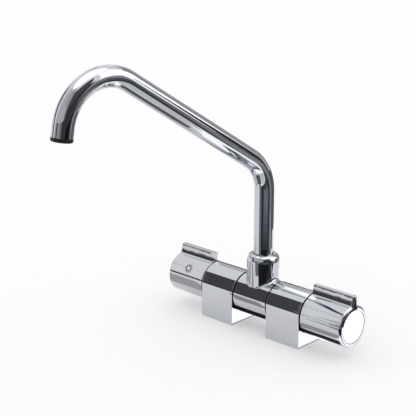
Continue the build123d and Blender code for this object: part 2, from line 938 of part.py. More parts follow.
single_pieces = {
    "fold_barrel": fold_barrel(),
    "journal_seals": journal_seals(),
    "collar_nut": collar_nut(),
    "thrust_washer": thrust_washer(),
    "slip_washer": slip_washer(),
    "swivel_stop_pin": swivel_stop_pin(),
    "spout_tube": spout_tube(),
    "spout_ferrule": spout_ferrule(),
    "spout_seals": spout_seals(),
    "outlet_insert": outlet_insert(),
    "flow_straightener": flow_straightener(),
}

for name, piece in handed_pieces.items():
    write(f"right_{name}", piece)
    write(f"left_{name}", left_copy(piece))

for name, piece in paired_pieces.items():
    write(name, both_sides(piece))

for name, piece in single_pieces.items():
    write(name, piece)

right_handle = handle()
mark = hot_mark()
write("right_handle", right_handle)
write("left_handle", left_copy(right_handle) - mark)
write("hot_mark", mark)
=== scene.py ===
# %% [markdown]
# This script dresses a folding caravan tap: two feet, a barrel between them that turns to fold
# the bent spout down, and a quarter-turn lever handle at each end. The solids come from the CAD
# model with their curves finely divided, so most of them only need a finish. What repeats or
# follows a path could be drawn by hand as well, but a rule is shorter and exact. So Geometry Nodes
# make these anew: the spout, the sun mark, the screw threads and the vanes in the nozzle.

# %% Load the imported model
import json
import math

import bmesh
import bpy
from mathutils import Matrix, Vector


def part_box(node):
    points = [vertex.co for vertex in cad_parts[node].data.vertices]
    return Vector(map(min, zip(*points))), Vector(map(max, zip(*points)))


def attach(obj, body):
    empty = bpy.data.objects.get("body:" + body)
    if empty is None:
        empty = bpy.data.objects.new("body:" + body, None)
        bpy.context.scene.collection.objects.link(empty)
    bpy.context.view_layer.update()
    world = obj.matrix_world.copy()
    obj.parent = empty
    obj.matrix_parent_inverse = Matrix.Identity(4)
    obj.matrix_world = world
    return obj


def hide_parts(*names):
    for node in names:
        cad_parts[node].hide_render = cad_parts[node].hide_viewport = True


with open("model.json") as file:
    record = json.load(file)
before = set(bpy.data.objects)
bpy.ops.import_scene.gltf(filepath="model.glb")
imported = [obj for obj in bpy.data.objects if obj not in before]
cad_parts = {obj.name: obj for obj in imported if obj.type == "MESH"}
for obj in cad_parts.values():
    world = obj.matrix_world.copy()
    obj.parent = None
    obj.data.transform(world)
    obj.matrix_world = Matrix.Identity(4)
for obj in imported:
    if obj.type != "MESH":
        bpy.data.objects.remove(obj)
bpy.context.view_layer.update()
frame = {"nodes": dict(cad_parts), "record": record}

nodes = frame["nodes"]

# %% [markdown]
# Everything is in metres, and MM turns the drawing's millimetres to metres. The bar is the round
# body that the feet, the barrel and the handles form together. Its axis lies along X, the worktop
# is at a height of zero, and the front is towards -Y.

# %% Sizes that many cells share
MM = 0.001
AXIS_HEIGHT = 24.2 * MM  # the bar's axis above the worktop
BAR_RADIUS = 16.0 * MM

for name in ("spout_tube", "left_handle", "right_foot"):
    low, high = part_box(name)
    print(name, [round(v / MM, 1) for v in (*low, *high)])

# %% [markdown]
# One helper adds a node to any tree, sets its options and fills its inputs. An input is filled
# either with a value or with a socket, and then a link is drawn. Writing trees with it reads like
# a list of steps. Colours are written as sRGB hex, the way a colour chart gives them, while the
# renderer works with linear light, so a second helper converts them.


# %% Helpers for trees and colours
def add_node(tree, kind, inputs=None, **options):
    """Adds a node with its options, and fills its inputs with values or links."""
    node = tree.nodes.new(kind)
    for option, value in options.items():
        setattr(node, option, value)
    for key, value in (inputs or {}).items():
        if isinstance(value, bpy.types.NodeSocket):
            tree.links.new(value, node.inputs[key])
        else:
            node.inputs[key].default_value = value
    return node


def linear(hex_colour):
    """sRGB hex to linear light by the standard's own formula, with full alpha."""
    parts = [int(hex_colour[i : i + 2], 16) / 255 for i in (0, 2, 4)]
    light = [p / 12.92 if p <= 0.04045 else ((p + 0.055) / 1.055) ** 2.4 for p in parts]
    return (*light, 1.0)


print("mid grey is", [round(v, 3) for v in linear("808080")])

# %% [markdown]
# The camera stands where the photographer stood: in front of the right handle and a little above,
# with a long lens that keeps the bar's lines almost parallel. Its place was found by fitting the
# tap's corners to the picture, and is given here as a turn, a height angle and a distance from
# the middle of the frame, because those are easier to picture than three coordinates.

# %% Camera
TURN = math.radians(43.71)
RAISE = math.radians(17.05)
DISTANCE = 864.7 * MM
AIM = Vector((-16.65, -43.54, 101.65)) * MM
SENSOR = 36.0  # its width in millimetres
LENS = 101.85  # focal length in millimetres
NEAREST, FARTHEST = 0.05, 50.0  # metres within which the camera sees

scene = bpy.context.scene
back = Vector(
    (
        math.sin(TURN) * math.cos(RAISE),
        -math.cos(TURN) * math.cos(RAISE),
        math.sin(RAISE),
    )
)
camera_data = bpy.data.cameras.new("studio_camera")
camera_data.sensor_width = SENSOR
camera_data.lens = LENS
camera_data.clip_start = NEAREST
camera_data.clip_end = FARTHEST
camera = bpy.data.objects.new("studio_camera", camera_data)
camera.location = AIM + back * DISTANCE
camera.rotation_mode = "QUATERNION"
camera.rotation_quaternion = (-back).to_track_quat("-Z", "Y")
scene.collection.objects.link(camera)
scene.camera = camera
print("camera at", [round(v / MM) for v in camera.location])

# %% [markdown]
# Polished metal has almost no colour of its own: it shows the room. Lamps alone would leave a
# chrome tap black with a few bright dots, so it is lit the way a photographer lights it, in a
# white tent, with dark boards and bright softboxes placed where their reflections draw the shape.
# The world is the tent. It is plain white for every ray that sees it, so metal shows the same
# white that stands behind the tap. What it gives to matt things is a little less, so that pale
# ones don't clip to white.

# %% White tent
SOFT_LEVEL = 0.95  # the tent's light on matt things

scene.view_settings.view_transform = "Standard"
world = bpy.data.worlds.new("white_tent")
world.use_nodes = True
sky = world.node_tree
sky.nodes.clear()
rays = add_node(sky, "ShaderNodeLightPath")
seen = add_node(
    sky,
    "ShaderNodeMath",
    {0: rays.outputs["Is Camera Ray"], 1: rays.outputs["Is Glossy Ray"]},
    operation="MAXIMUM",
)
seen = add_node(
    sky,
    "ShaderNodeMath",
    {0: seen.outputs[0], 1: rays.outputs["Is Transmission Ray"]},
    operation="MAXIMUM",
)
tent = add_node(sky, "ShaderNodeBackground", {"Color": linear("FFFFFF"), "Strength": 1.0})
soft_light = add_node(
    sky, "ShaderNodeBackground", {"Color": linear("FFFFFF"), "Strength": SOFT_LEVEL}
)
either = add_node(
    sky,
    "ShaderNodeMixShader",
    {0: seen.outputs[0], 1: soft_light.outputs[0], 2: tent.outputs[0]},
)
add_node(sky, "ShaderNodeOutputWorld", {0: either.outputs[0]})
scene.world = world
print("tent of", len(sky.nodes), "nodes")

# %% [markdown]
# The floor is a sheet of matt white paper. Paper that only reflects would look grey under the
# tent's even light, so it glows a little as well. A stronger glow would wash out the soft shadow
# that ties the tap to the floor. The helper for its mesh leaves every object at the origin,
# unturned, as those of the solids are.

# %% Paper floor
FLOOR_REACH = 6.0  # metres from the middle to each edge
PAPER_ROUGHNESS = 0.9
PAPER_GLOW = 0.25


def new_mesh(name, points, faces=(), edges=()):
    """A mesh object at the origin from points in metres."""
    mesh = bpy.data.meshes.new(name)
    mesh.from_pydata([tuple(p) for p in points], edges, faces)
    mesh.update()
    made = bpy.data.objects.new(name, mesh)
    bpy.context.scene.collection.objects.link(made)
    return made


corners = [(-1, -1), (1, -1), (1, 1), (-1, 1)]
floor = new_mesh(
    "floor", [(x * FLOOR_REACH, y * FLOOR_REACH, 0) for x, y in corners], [(0, 1, 2, 3)]
)
paper = bpy.data.materials.new("matt_white_paper")
paper.use_nodes = True
paper_shader = paper.node_tree.nodes["Principled BSDF"]
paper_shader.inputs["Base Color"].default_value = linear("E4E4E4")
paper_shader.inputs["Roughness"].default_value = PAPER_ROUGHNESS
paper_shader.inputs["Specular IOR Level"].default_value = 0.0
paper_shader.inputs["Emission Color"].default_value = linear("FFFFFF")
paper_shader.inputs["Emission Strength"].default_value = PAPER_GLOW
floor.data.materials.append(paper)
print("floor", FLOOR_REACH * 2, "m across")

# %% [markdown]
# Boards and softboxes glow at a set level, and only reflections see them: not the camera, and not
# the floor. A level of 1 is the tent's own white, above 1 is a softbox and near 0 is a black
# board. A few greys between them give the soft steps that a curved mirror shows. A board could
# also be a lamp, but a glowing patch has the exact outline that the reflection needs.
#
# Some boards are louvred, as a photographer's egg-crate is: what they show depends on how steeply
# they are looked at. So one card can serve two curved faces that both mirror its place, but from
# different heights. Its level is then three values: the one for a low look, the one for a steep
# look, and how low the look must be for the first to take over. None lets light through.

# %% Finish of a board
LOUVRE_SWITCH = 0.42  # where a look counts as low, from 0 for square on to 1 for grazing
LOUVRE_SOFTNESS = 0.04
STEEP_LIGHT = 1.5
TINT_BELOW = 0.3  # boards darker than this are a little blue, as the tap's dark stripes are
EVEN_BLEND = 0.5  # Layer Weight then runs from 0, square on, to 1, grazing
glows = {}


def low_look(level, switch=LOUVRE_SWITCH):
    """A louvred level that shows to a low look, and gives bright light to a steep one."""
    return (level, STEEP_LIGHT, switch)


def steep_look(level, switch=LOUVRE_SWITCH):
    """A louvred level that shows to a steep look, and is clear to a low one."""
    return (None, level, switch)


def light_of(tree, level):
    """The output of a node that glows at this level, or lets light through for None."""
    if level is None:
        return add_node(tree, "ShaderNodeBsdfTransparent").outputs[0]
    tint = linear("EEF2FF" if level < TINT_BELOW else "FFFFFF")
    return add_node(tree, "ShaderNodeEmission", {"Color": tint, "Strength": level}).outputs[0]


def glow(level):
    """A finish that only gives light, at this level or through a louvre."""
    if level in glows:
        return glows[level]
    finish = bpy.data.materials.new(f"studio_level_{len(glows):02d}")
    finish.use_nodes = True
    tree = finish.node_tree
    tree.nodes.clear()
    if isinstance(level, tuple):
        low, steep, switch = level
        facing = add_node(tree, "ShaderNodeLayerWeight", {"Blend": EVEN_BLEND})
        share = add_node(
            tree,
            "ShaderNodeMapRange",
            {
                "Value": facing.outputs["Facing"],
                "From Min": switch - LOUVRE_SOFTNESS,
                "From Max": switch + LOUVRE_SOFTNESS,
            },
        )
        mixed = add_node(
            tree,
            "ShaderNodeMixShader",
            {0: share.outputs[0], 1: light_of(tree, steep), 2: light_of(tree, low)},
        )
        light = mixed.outputs[0]
    else:
        light = light_of(tree, level)
    add_node(tree, "ShaderNodeOutputMaterial", {"Surface": light})
    glows[level] = finish
    return finish


print("a card that is black to a low look has the level", low_look(0.0))

# %% [markdown]
# A board itself is a grid of points with faces between them. Left as it is, it would stand in the
# picture and shade the tap. So it is hidden from every kind of ray but the glossy ones, which are
# the reflections.


# %% Hanging a board
STEPS = 12  # faces along each side of a curved board


def between(ends, share):
    """The value at this share of the way from the first end to the second."""
    return ends[0] + (ends[1] - ends[0]) * share


def way_of(turn, height):
    """Unit vector of a turn from the front towards the right, and a height, in degrees."""
    turn, height = math.radians(turn), math.radians(height)
    flat = math.cos(height)
    return Vector((math.sin(turn) * flat, -math.cos(turn) * flat, math.sin(height)))


def hang(name, points, columns, level):
    """Makes a grid of points a part of the studio that only reflections see."""
    rows = len(points) // columns
    faces = [
        (a, a + columns, a + columns + 1, a + 1)
        for i in range(rows - 1)
        for a in range(i * columns, i * columns + columns - 1)
    ]
    patch = new_mesh(name, points, faces)
    patch.data.materials.append(glow(level))
    patch.visible_camera = False
    patch.visible_diffuse = False
    patch.visible_shadow = False
    patch.visible_transmission = False
    patch.visible_volume_scatter = False


print("a turn of 90 degrees points along", [round(v, 2) for v in way_of(90, 0)])

# %% [markdown]
# The walls and the ceiling of the tent are patches of a sphere round the tap, each given by the
# span of directions that it covers: a turn from the front (-Y) towards the right (+X), and a
# height angle. Flat boards on stands would do as well, but a direction in which the tap mirrors
# something can be typed in here just as it was read off the photograph.

# %% Boards and softboxes
TENT_MIDDLE = Vector((0, -50, 60)) * MM
TENT_REACH = 1600 * MM


def board(name, turns, heights, level):
    """A patch of a sphere that covers these directions, seen from the tent's middle."""
    points = [
        TENT_MIDDLE
        + way_of(between(turns, i / STEPS), between(heights, j / STEPS)) * TENT_REACH
        for i in range(STEPS + 1)
        for j in range(STEPS + 1)
    ]
    hang(name, points, STEPS + 1, level)


# Span of turns and span of heights in degrees, and the level
walls = {
    "wall_left_high": ((-135, -52), (38, 60), 1.0),
    "wall_left": ((-100, -57), (10, 34), 0.62),
    "wall_front_left": ((-52, -36), (34, 60), 0.9),
    "wall_front_middle": ((-36, 12), (34, 60), 0.6),
    "wall_left_low": ((-32.5, -18), (-4, 13), 0.45),
    "wall_front_line": ((-18, -5), (-4, 13), 0.1),
    "wall_front_low": ((-5, 13), (-4, 13), 0.45),
    "wall_front_step": ((13, 30), (-4, 13), 0.28),
    "wall_front_edge": ((30, 45), (-4, 13), 0.06),
    "wall_front": ((-35, 36), (13, 34), 0.6),
    "wall_front_right": ((36, 45), (13, 34), 0.3),
    "wall_front_high": ((12, 45), (34, 60), 0.45),
    "wall_right_low": ((45, 104), (-4, 24), 0.06),
    "wall_right_high": ((45, 98), (24, 50), 0.1),
    "softbox_back_right": ((108, 162), (15.5, 60), 1.8),
    "softbox_right_edge": ((104, 124.5), (-4, 15.5), 0.35),
    "wall_back_step": ((124.5, 134.5), (-4, 2), 0.35),
    "softbox_back_line": ((124.5, 134.5), (2, 15.5), 1.5),
    "wall_back_low": ((134.5, 156), (-4, 15.5), 0.05),
    "wall_back": ((162, 204), (-4, 24), 0.42),
    "wall_back_high": ((162, 215), (24, 44), 0.36),
    "wall_back_left": ((204, 243), (-4, 11), 0.12),
    "wall_far_left": ((215, 243), (11, 34), 0.62),
    "softbox_top": ((0, 360), (62, 90), 1.8),
}
for name, (turns, heights, level) in walls.items():
    board(name, turns, heights, level)
print(len(walls), "boards and softboxes round the tap")

# %% [markdown]
# An upright tube seen from above mirrors the table, not the walls. So dark and grey cards lie on
# the floor too, in sectors of a ring round the tap. They give the riser and the collar nut their
# upright stripes, and five narrow ones of rising level grade the riser from dark to grey. Places
# on the floor and heights above it are in millimetres here and in the next cells.


# %% Ring of cards round the tap
SECTOR_HEIGHT = 1
FLOOR_END = 900


def floor_sector(name, turns, reach, level, middle=(0.0, 0.0)):
    """A flat sector of a ring just over the floor."""
    points = [
        Vector((*middle, SECTOR_HEIGHT)) * MM
        + way_of(between(turns, i / STEPS), 0) * far * MM
        for i in range(STEPS + 1)
        for far in reach
    ]
    hang(name, points, 2, level)


# Span of turns in degrees, reach from the middle, and the level
sectors = {
    "floor_front_grey": ((-14, 9), (130, FLOOR_END), 0.25),
    "floor_front_near": ((9, 36), (100, 190), low_look(0.02)),
    "floor_front_dark": ((9, 36), (190, FLOOR_END), low_look(0.05)),
    "floor_middle_near": ((36, 88), (95, 190), low_look(0.015)),
    "floor_middle_1": ((36, 88), (190, 216), low_look(0.07, 0.39)),
    "floor_middle_2": ((36, 88), (216, 242), low_look(0.1, 0.39)),
    "floor_middle_3": ((36, 88), (242, 268), low_look(0.135, 0.39)),
    "floor_middle_4": ((36, 88), (268, 294), low_look(0.17, 0.39)),
    "floor_middle_5": ((36, 88), (294, 320), low_look(0.2, 0.39)),
    "floor_middle_far": ((36, 88), (320, FLOOR_END), low_look(0.24, 0.39)),
    "floor_right_dark": ((88, 105), (130, FLOOR_END), low_look(0.05, 0.38)),
    "floor_right_grey": ((105, 113), (130, FLOOR_END), low_look(0.22)),
    "floor_back_grey": ((113, 134), (170, FLOOR_END), low_look(0.4)),
    "floor_back_dark": ((134, 154), (190, FLOOR_END), 0.1),
}
for name, (turns, reach, level) in sectors.items():
    floor_sector(name, turns, reach, level)
print(len(sectors), "cards round the tap")

# %% [markdown]
# Nearer cards serve single faces. A flat upright face mirrors a patch of floor that leans away
# from it, so the cards for the feet's sides and the levers' ends are parallelograms that lean to
# the right and back. Those for the lower front of the bar lean to the left, and a grey one for the
# arm lies out to its right. Flat rectangles darken the underside and the right end of the bar, and
# stripe the underside of the arm. The two under the bar are painted shade: dark sheets that stand
# for the shadow on the floor beneath it, as the bar mirrors it. Where cards lie over each other,
# their heights differ.


# %% Cards near the tap
LEAN_HEIGHT = 1.6


def leaning_card(name, side, lean, reach, level):
    """A flat card that leans away from a line between two corners, towards this turn."""
    points = [
        Vector((*corner, LEAN_HEIGHT)) * MM + way_of(lean, 0) * far * MM
        for corner in side
        for far in reach
    ]
    hang(name, points, 2, level)


def floor_card(name, across, along, height, level):
    """A flat rectangle over the floor."""
    points = [Vector((x, y, height)) * MM for x in across for y in along]
    hang(name, points, 2, level)


# Two corners of the line, turn of the lean in degrees, reach along it, and the level
leaning = {
    "card_lever_end": (((87, -18), (87, 18)), 144, (60, 130), 0.03),
    "card_right_foot": (((49.25, -18), (49.25, 18)), 141, (0, 80), 1.7),
    "card_left_foot": (((-17.25, -18), (-17.25, 18)), 138.5, (0, 48), 1.7),
    "card_left_lever_end": (((-50.3, -4), (-50.3, 5)), 139, (96, 132), 2.6),
    "card_barrel_front": (((-17, -16), (17, -16)), -41, (40, 150), 0.36),
    "card_handle_front": (((-110, -16), (-50, -16)), -44, (12, 140), 0.5),
    "card_arm_grey": (((60, -140), (60, -45)), 110, (0, 190), steep_look(0.75, 0.4)),
}
for name, (side, lean, reach, level) in leaning.items():
    leaning_card(name, side, lean, reach, level)

# Span of X, span of Y, height above the floor, and the level
flat_cards = {
    # painted shade: the next two cards stand for the shadow on the floor under the bar
    "card_under_barrel": ((-31, 17), (-17, 5), 2.4, steep_look(0.02, 0.54)),
    "card_under_handle": ((38, 77), (-17, -5), 2.4, steep_look(0.04, 0.54)),
    "card_handle_low": ((32, 71), (-38, -17), 2.4, steep_look(0.42, 0.5)),
    "card_right_end": ((88, 140), (-62, 42), 1.0, low_look(0.03)),
    "card_end_edge": ((120, 185), (5, 75), 1.1, low_look(0.03)),
    "card_arm": ((-62, 46), (-135, -56), 2.4, steep_look(0.17)),
    "card_arm_light": ((8, 112), (-44, -17.2), 2.6, steep_look(1.6, 0.2)),
}
for name, (across, along, height, level) in flat_cards.items():
    floor_card(name, across, along, height, level)
print(len(leaning), "leaning and", len(flat_cards), "flat cards near the tap")

# %% [markdown]
# The end of the spout is upright too, but it stands well in front of the bar and high above the
# floor. So it has a ring of cards of its own, round the spot below it and farther out.

# %% Ring of cards round the outlet
OUTLET_PLACE = (-18.0, -176.0)
OUTLET_REACH = (420, 1600)

# Span of turns in degrees, and the level
outlet_sectors = {
    "outlet_left": ((-55, -25), 0.45),
    "outlet_line": ((-25, -6), 0.11),
    "outlet_front": ((-6, 14), 0.4),
    "outlet_step": ((14, 32), 0.2),
    "outlet_dark": ((32, 118), 0.01),
    "outlet_back_dark": ((118, 150), 0.1),
    "outlet_back": ((150, 200), 0.18),
}
for name, (turns, level) in outlet_sectors.items():
    floor_sector(name, turns, OUTLET_REACH, level, middle=OUTLET_PLACE)
print(len(outlet_sectors), "cards round the outlet")

# %% [markdown]
# The end cap is flat and mirrors the floor to the right and back of the bar. Its card must match
# the cap's round outline, or a crescent of some other tone would show in it. So the card is found
# from the camera: seen in the cap's plane, the camera has a mirror image behind it, and the lines
# from there through the cap's rim meet the floor where the card's rim has to lie.

# %% Cards for the end cap
END_CARD_HEIGHT = 2.0
HUB_SHARE = 0.02  # leaves a pinhole in the middle, where all the corners would meet


def mirrored_round(name, side, angles, radius, level):
    """The part of the floor that a flat round end of the bar, at this X, mirrors."""
    behind = Vector((2 * side * MM - camera.location.x, *camera.location.yz))
    points = []
    for i in range(2 * STEPS + 1):
        angle = math.radians(between(angles, i / (2 * STEPS)))
        for share in (HUB_SHARE, 1):
            far = radius * share * MM
            rim = Vector(
                (side * MM, -far * math.cos(angle), AXIS_HEIGHT + far * math.sin(angle))
            )
            fall = (rim.z - END_CARD_HEIGHT * MM) / (behind.z - rim.z)
            points.append(rim + (rim - behind) * fall)
    hang(name, points, 2, level)


# X of the round end, span of angles from the front upwards, radius, and the level
cap_cards = {
    "card_cap": (87, (0, 360), 12.75, 1.7),
    "card_cap_ring": (87.2, (105, 375), 17.0, 1.7),
}
for name, (side, angles, radius, level) in cap_cards.items():
    mirrored_round(name, side, angles, radius, level)
print(len(cap_cards), "cards for the end cap")

# %% [markdown]
# The last boards are narrow strips. To put a reflection exactly on one piece and not on its
# neighbour, a strip is found backwards: from the camera to a point on the piece, mirrored there,
# and on by the strip's distance. Strips for the round bar darken the front of the feet and the
# barrel, draw a line on the left handle and give the right foot its bright streak.

# %% Strips for the round bar
STRIP_AWAY = 480 * MM
FEET_RADIUS = 16.3  # millimetres, between the feet's own 16.4 and the barrel's 16.0
HANDLE_RADIUS = 16.0


def bounce(spot, outwards):
    """Where the camera's line of sight ends that is mirrored at this spot."""
    sight = (spot - camera.location).normalized()
    return spot + (sight - outwards * 2 * sight.dot(outwards)) * STRIP_AWAY


def mirrored_strip(name, span, angles, radius, level):
    """A strip whose reflection in the round bar covers this span of X and these angles."""
    points = []
    for i in range(STEPS + 1):
        for j in range(STEPS + 1):
            angle = math.radians(between(angles, j / STEPS))
            outwards = Vector((0, -math.cos(angle), math.sin(angle)))
            across = between(span, i / STEPS) * MM
            spot = Vector((across, 0, AXIS_HEIGHT)) + outwards * radius * MM
            points.append(bounce(spot, outwards))
    hang(name, points, STEPS + 1, level)


# Span of X, span of angles from the front upwards, radius of the bar there, and the level
strips = {
    "strip_feet_and_barrel": ((-49.6, 49.6), (11.5, 45), FEET_RADIUS, 0.085),
    "strip_right_streak": ((17, 56), (62, 76), FEET_RADIUS, 1.7),
    "strip_right_line": ((17, 49.6), (59.5, 61.5), FEET_RADIUS, 0.5),
    "strip_left_handle": ((-87, -49.7), (13, 17), HANDLE_RADIUS, 0.12),
}
for name, (span, angles, radius, level) in strips.items():
    mirrored_strip(name, span, angles, radius, level)
print(len(strips), "strips for the round bar")

# %% [markdown]
# The levers' sides are flat and slope back. Each shows a dark root, a light band and a dark line
# under its top edge, and a strip for each of them is found in the same way.

# %% Strips for the levers
LEVER_SLOPE = math.radians(15.0)
LEVER_CREST = (-0.51 * MM, 47.86 * MM)  # Y and Z where the sloping side ends


def mirrored_slope(name, span, heights, level):
    """A strip whose reflection covers this part of a lever's sloping side."""
    outwards = Vector((0, -math.cos(LEVER_SLOPE), math.sin(LEVER_SLOPE)))
    points = []
    for across in span:
        for height in heights:
            drop = LEVER_CREST[1] - height * MM
            along = LEVER_CREST[0] - drop * math.tan(LEVER_SLOPE)
            points.append(bounce(Vector((across * MM, along, height * MM)), outwards))
    hang(name, points, 2, level)


# Span of X, span of heights above the worktop, and the level
slopes = {
    "strip_left_lever": ((-88, -50), (38.5, 43.7), 0.07),
    "strip_left_band": ((-88, -50), (43.7, 46.3), 0.95),
    "strip_left_crest": ((-88, -54), (46.3, 47.7), 0.05),
    "strip_right_lever": ((49, 88), (38.5, 44.2), 0.07),
    "strip_right_band": ((49, 88), (44.2, 46.2), 1.05),
    "strip_right_crest": ((49, 88), (46.2, 47.8), 0.05),
}
for name, (span, heights, level) in slopes.items():
    mirrored_slope(name, span, heights, level)
print(len(slopes), "strips for the levers")

# %% [markdown]
# The finishes. Bright chrome plate is a metal with a neutral grey reflectance of about 0.6 and a
# near-perfect mirror surface. Brass is turned and left bare where water hides it. Rubber, acetal
# and PTFE are dielectrics that keep the default IOR near 1.5. Most of them get a little unevenness
# at a real size, so that their highlights aren't ruled lines: the casting under the chrome is wavy
# over some millimetres, turned brass has fine rings, moulded rubber is faintly grained. A bump
# gives this without a face more, because none of it is deep enough to change an outline.

# %% Helper for finishes
PER_MM = 1000.0  # scales a place in metres to millimetres


def finish_of(name, hex_colour, metallic, roughness, grain=0.0, depth=0.0, stretch=(1, 1, 1)):
    """A Principled finish with a noise bump of that grain and depth, in millimetres."""
    finish = bpy.data.materials.new(name)
    finish.use_nodes = True
    tree = finish.node_tree
    shader = tree.nodes["Principled BSDF"]
    shader.inputs["Base Color"].default_value = linear(hex_colour)
    shader.inputs["Metallic"].default_value = metallic
    shader.inputs["Roughness"].default_value = roughness
    if grain:
        place = add_node(tree, "ShaderNodeTexCoord")
        sized = add_node(
            tree,
            "ShaderNodeMapping",
            {"Vector": place.outputs["Object"], "Scale": tuple(PER_MM * s for s in stretch)},
        )
        noise = add_node(
            tree,
            "ShaderNodeTexNoise",
            {"Vector": sized.outputs[0], "Scale": 1 / grain, "Detail": 1.0},
        )
        bump = add_node(
            tree,
            "ShaderNodeBump",
            {"Height": noise.outputs[0], "Distance": depth * MM, "Strength": 1.0},
        )
        tree.links.new(bump.outputs[0], shader.inputs["Normal"])
    return finish


print("a grain of 6 mm is drawn at a noise scale of", round(1 / 6, 3), "to the millimetre")

# %% Finishes
METAL, NOT_METAL = 1.0, 0.0
LATHE_STRETCH = (1, 1, 5)  # squeezes the noise in height, into fine bands

finishes = {
    # Mirror-bright, faintly wavy from the casting below the plate
    "polished_chrome": finish_of(
        "chrome_plate_on_brass", "C8CAD0", METAL, roughness=0.03, grain=6.0, depth=0.006
    ),
    # The same plate on a flat stamping, so no waves
    "cap_chrome": finish_of("chrome_plate_stamped", "D0D0D2", METAL, roughness=0.04),
    # Warm yellow, with the fine rings of the lathe
    "turned_brass": finish_of(
        "turned_brass", "C9A65E", METAL, roughness=0.22, grain=0.35, depth=0.004,
        stretch=LATHE_STRETCH,
    ),
    # Greyer and duller than chrome, with a warm tint
    "nickel_brass": finish_of(
        "nickel_plated_brass", "BAB4A4", METAL, roughness=0.25, grain=0.6, depth=0.003
    ),
    # Cold grey and half dull, as barrel-plated washers are
    "zinc_steel": finish_of(
        "zinc_plated_steel", "B4B9BF", METAL, roughness=0.38, grain=0.8, depth=0.006
    ),
    # Drawn spring steel, smooth and only half bright
    "stainless": finish_of("drawn_stainless_steel", "ABABAD", METAL, roughness=0.3),
    # Dull black, faintly grained by the mould
    "black_rubber": finish_of(
        "moulded_epdm_rubber", "161617", NOT_METAL, roughness=0.62, grain=0.25, depth=0.006
    ),
    # Dark and satin, as moulded acetal is
    "black_plastic": finish_of(
        "moulded_acetal", "08080A", NOT_METAL, roughness=0.5, grain=0.6, depth=0.003
    ),
    # Waxy white
    "white_plastic": finish_of("moulded_ptfe", "E6E6E2", NOT_METAL, roughness=0.45),
    # Black paint baked into the recess
    "mark_enamel": finish_of("baked_enamel", "141518", NOT_METAL, roughness=0.5),
    # Lapped to a mirror, dense and opaque
    "white_ceramic": finish_of("lapped_alumina", "EDEBE4", NOT_METAL, roughness=0.1),
}

slot_of = {row["node"]: row["material_slot"] for row in frame["record"]["subparts"]}
for name, node in nodes.items():
    for place in node.material_slots:
        place.material = finishes[slot_of[name]]
print(len(finishes), "finishes on", len(nodes), "solid pieces")

# %% [markdown]
# Pieces made with Geometry Nodes all go through the same steps: a small starting mesh, a tree
# with named inputs, and at the end a plain mesh. An input of the modifier is set by its socket's
# identifier, which stays the same when the label is translated or renamed.


# %% Helpers that build a tree
def new_tree(name, inputs):
    """A tree with these named inputs after the geometry. Returns the tree and its entry."""
    tree = bpy.data.node_groups.new(name, "GeometryNodeTree")
    face = tree.interface
    face.new_socket("Geometry", in_out="OUTPUT", socket_type="NodeSocketGeometry")
    face.new_socket("Geometry", in_out="INPUT", socket_type="NodeSocketGeometry")
    for label, kind in inputs.items():
        face.new_socket(label, in_out="INPUT", socket_type=kind)
    return tree, add_node(tree, "NodeGroupInput").outputs


def spread_turns(tree, count, whole):
    """A turn round Z for each of the instances, which together share this whole turn."""
    index = add_node(tree, "GeometryNodeInputIndex")
    step = add_node(tree, "ShaderNodeMath", {0: whole, 1: count}, operation="DIVIDE")
    turned = add_node(
        tree, "ShaderNodeMath", {0: index.outputs[0], 1: step.outputs[0]}, operation="MULTIPLY"
    )
    return add_node(tree, "ShaderNodeCombineXYZ", {2: turned.outputs[0]}).outputs[0]


def close_tree(tree, geometry, finish, smooth=True):
    """Realizes instances, sets shading and finish, and ends the tree."""
    real = add_node(tree, "GeometryNodeRealizeInstances", {0: geometry})
    shaded = add_node(
        tree, "GeometryNodeSetShadeSmooth", {"Geometry": real.outputs[0], "Shade Smooth": smooth}
    )
    painted = add_node(
        tree, "GeometryNodeSetMaterial", {"Geometry": shaded.outputs[0], "Material": finish}
    )
    add_node(tree, "NodeGroupOutput", {0: painted.outputs[0]})
    print(tree.name, "has", len(tree.nodes), "nodes")


# %% Helpers that run a tree
MERGE_WITHIN = 0.001 * MM
SHARP_FROM = math.radians(35)


def grow(name, tree, values, start=None):
    """Puts the tree on a starting mesh, with these values for its named inputs."""
    made = start or new_mesh(name, [(0, 0, 0)])
    modifier = made.modifiers.new("grow", "NODES")
    modifier.node_group = tree
    for item in tree.interface.items_tree:
        if item.in_out == "INPUT" and item.name in values:
            modifier[item.identifier] = values[item.name]
    return made


def settle(made, finish):
    """Turns a piece with live modifiers into a plain mesh whose faces point outwards."""
    graph = bpy.context.evaluated_depsgraph_get()
    plain = bpy.data.meshes.new_from_object(
        made.evaluated_get(graph), preserve_all_data_layers=True, depsgraph=graph
    )
    made.modifiers.clear()
    made.data = plain
    plain.materials.clear()
    plain.materials.append(finish)
    work = bmesh.new()
    work.from_mesh(plain)
    bmesh.ops.remove_doubles(work, verts=work.verts, dist=MERGE_WITHIN)
    bmesh.ops.recalc_face_normals(work, faces=work.faces)
    work.to_mesh(plain)
    work.free()
    plain.update()
    plain.set_sharp_from_angle(angle=SHARP_FROM)
    print(made.name, len(plain.polygons), "faces")


def compare_boxes(made, node):
    """Prints the box of a finished piece above that of the solid that it stands for."""
    for label, points in ((made.name, [v.co for v in made.data.vertices]), (node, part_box(node))):
        spans = [(min(values), max(values)) for values in zip(*points)]
        print(label, "box", [round(end / MM, 2) for span in spans for end in span])


print("faces meet sharply from", round(math.degrees(SHARP_FROM)), "degrees")

# %% [markdown]
# The spout is one length of 15 mm tube bent twice. On the real one a bending machine draws the
# tube round a roller, so the middle line is three straight runs joined by arcs. A curve drawn by
# hand would only come near to that. Geometry Nodes follow the machine's own rule: four corner
# points joined by edges become a curve, the two inner corners are rounded to the rollers' radii,
# and a circle is swept along it. A Solidify modifier then gives the tube its 1 mm wall, inwards.

